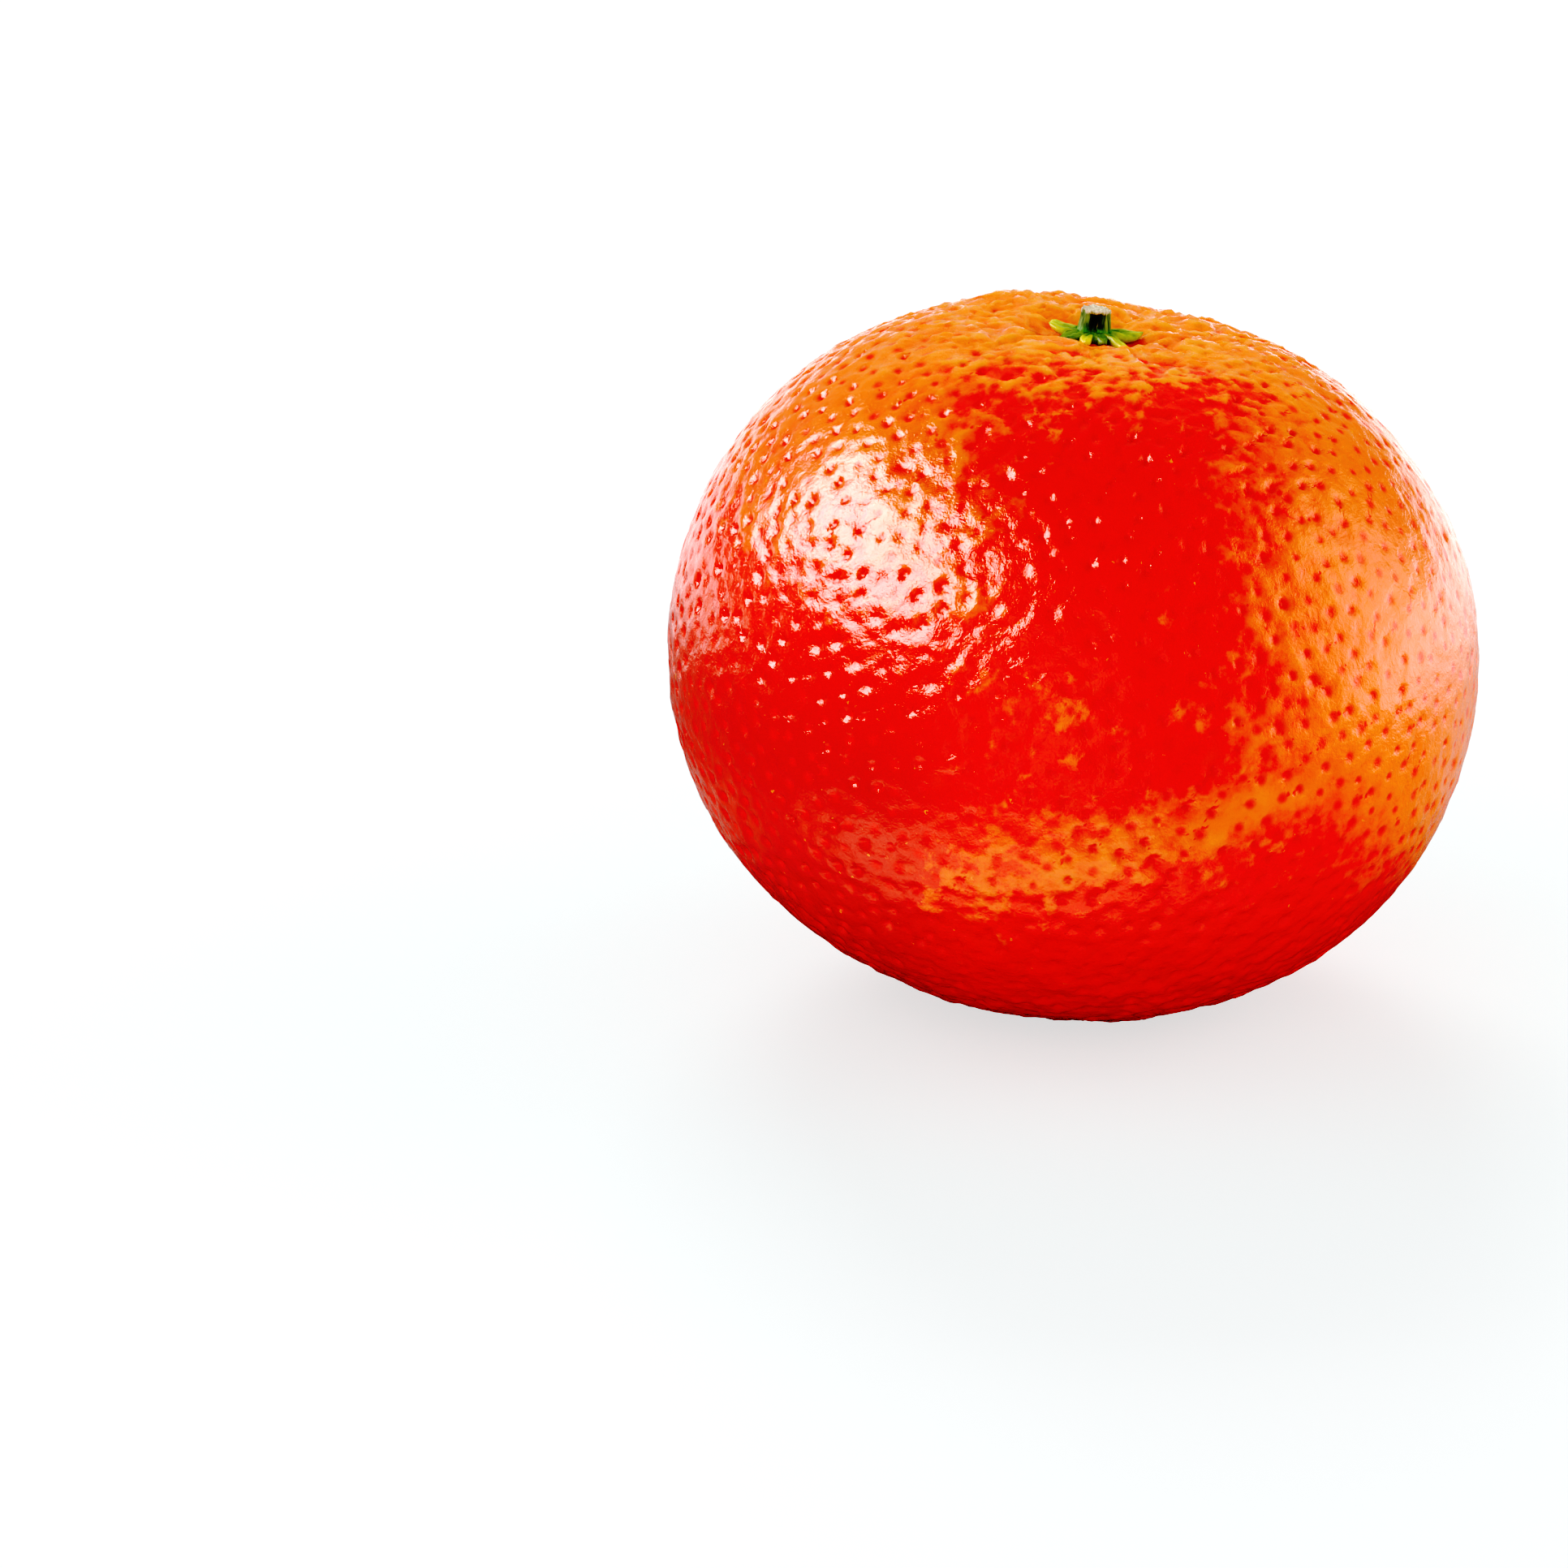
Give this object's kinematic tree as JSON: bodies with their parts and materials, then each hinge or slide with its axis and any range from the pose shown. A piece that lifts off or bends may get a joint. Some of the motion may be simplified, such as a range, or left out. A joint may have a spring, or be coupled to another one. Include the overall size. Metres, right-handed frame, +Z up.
{
  "type": "mandarin",
  "caption": "Whole mandarin with glossy pitted peel, a green calyx and a short cut stem stub, leaning a little as it rests on a small flat spot.",
  "frame": {"origin": "centre of the flat rest spot on the underside, on the surface the fruit rests on", "axes": "+Z up; the core leans 8 degrees from +Z towards +X, stem end up; the fruit's broad side faces -Y"},
  "size_m": [0.0639, 0.064, 0.0553],
  "materials": {
    "peel": "waxy orange-red citrus peel, glossy, with fine pits",
    "calyx": "leathery yellow-green plant tissue, satin",
    "stem": "green twig bark with a pale cut end, matte"
  },
  "bodies": {
    "root": {"fruit": "peel", "calyx": "calyx", "stem_stub": "stem"}
  },
  "joints": []
}
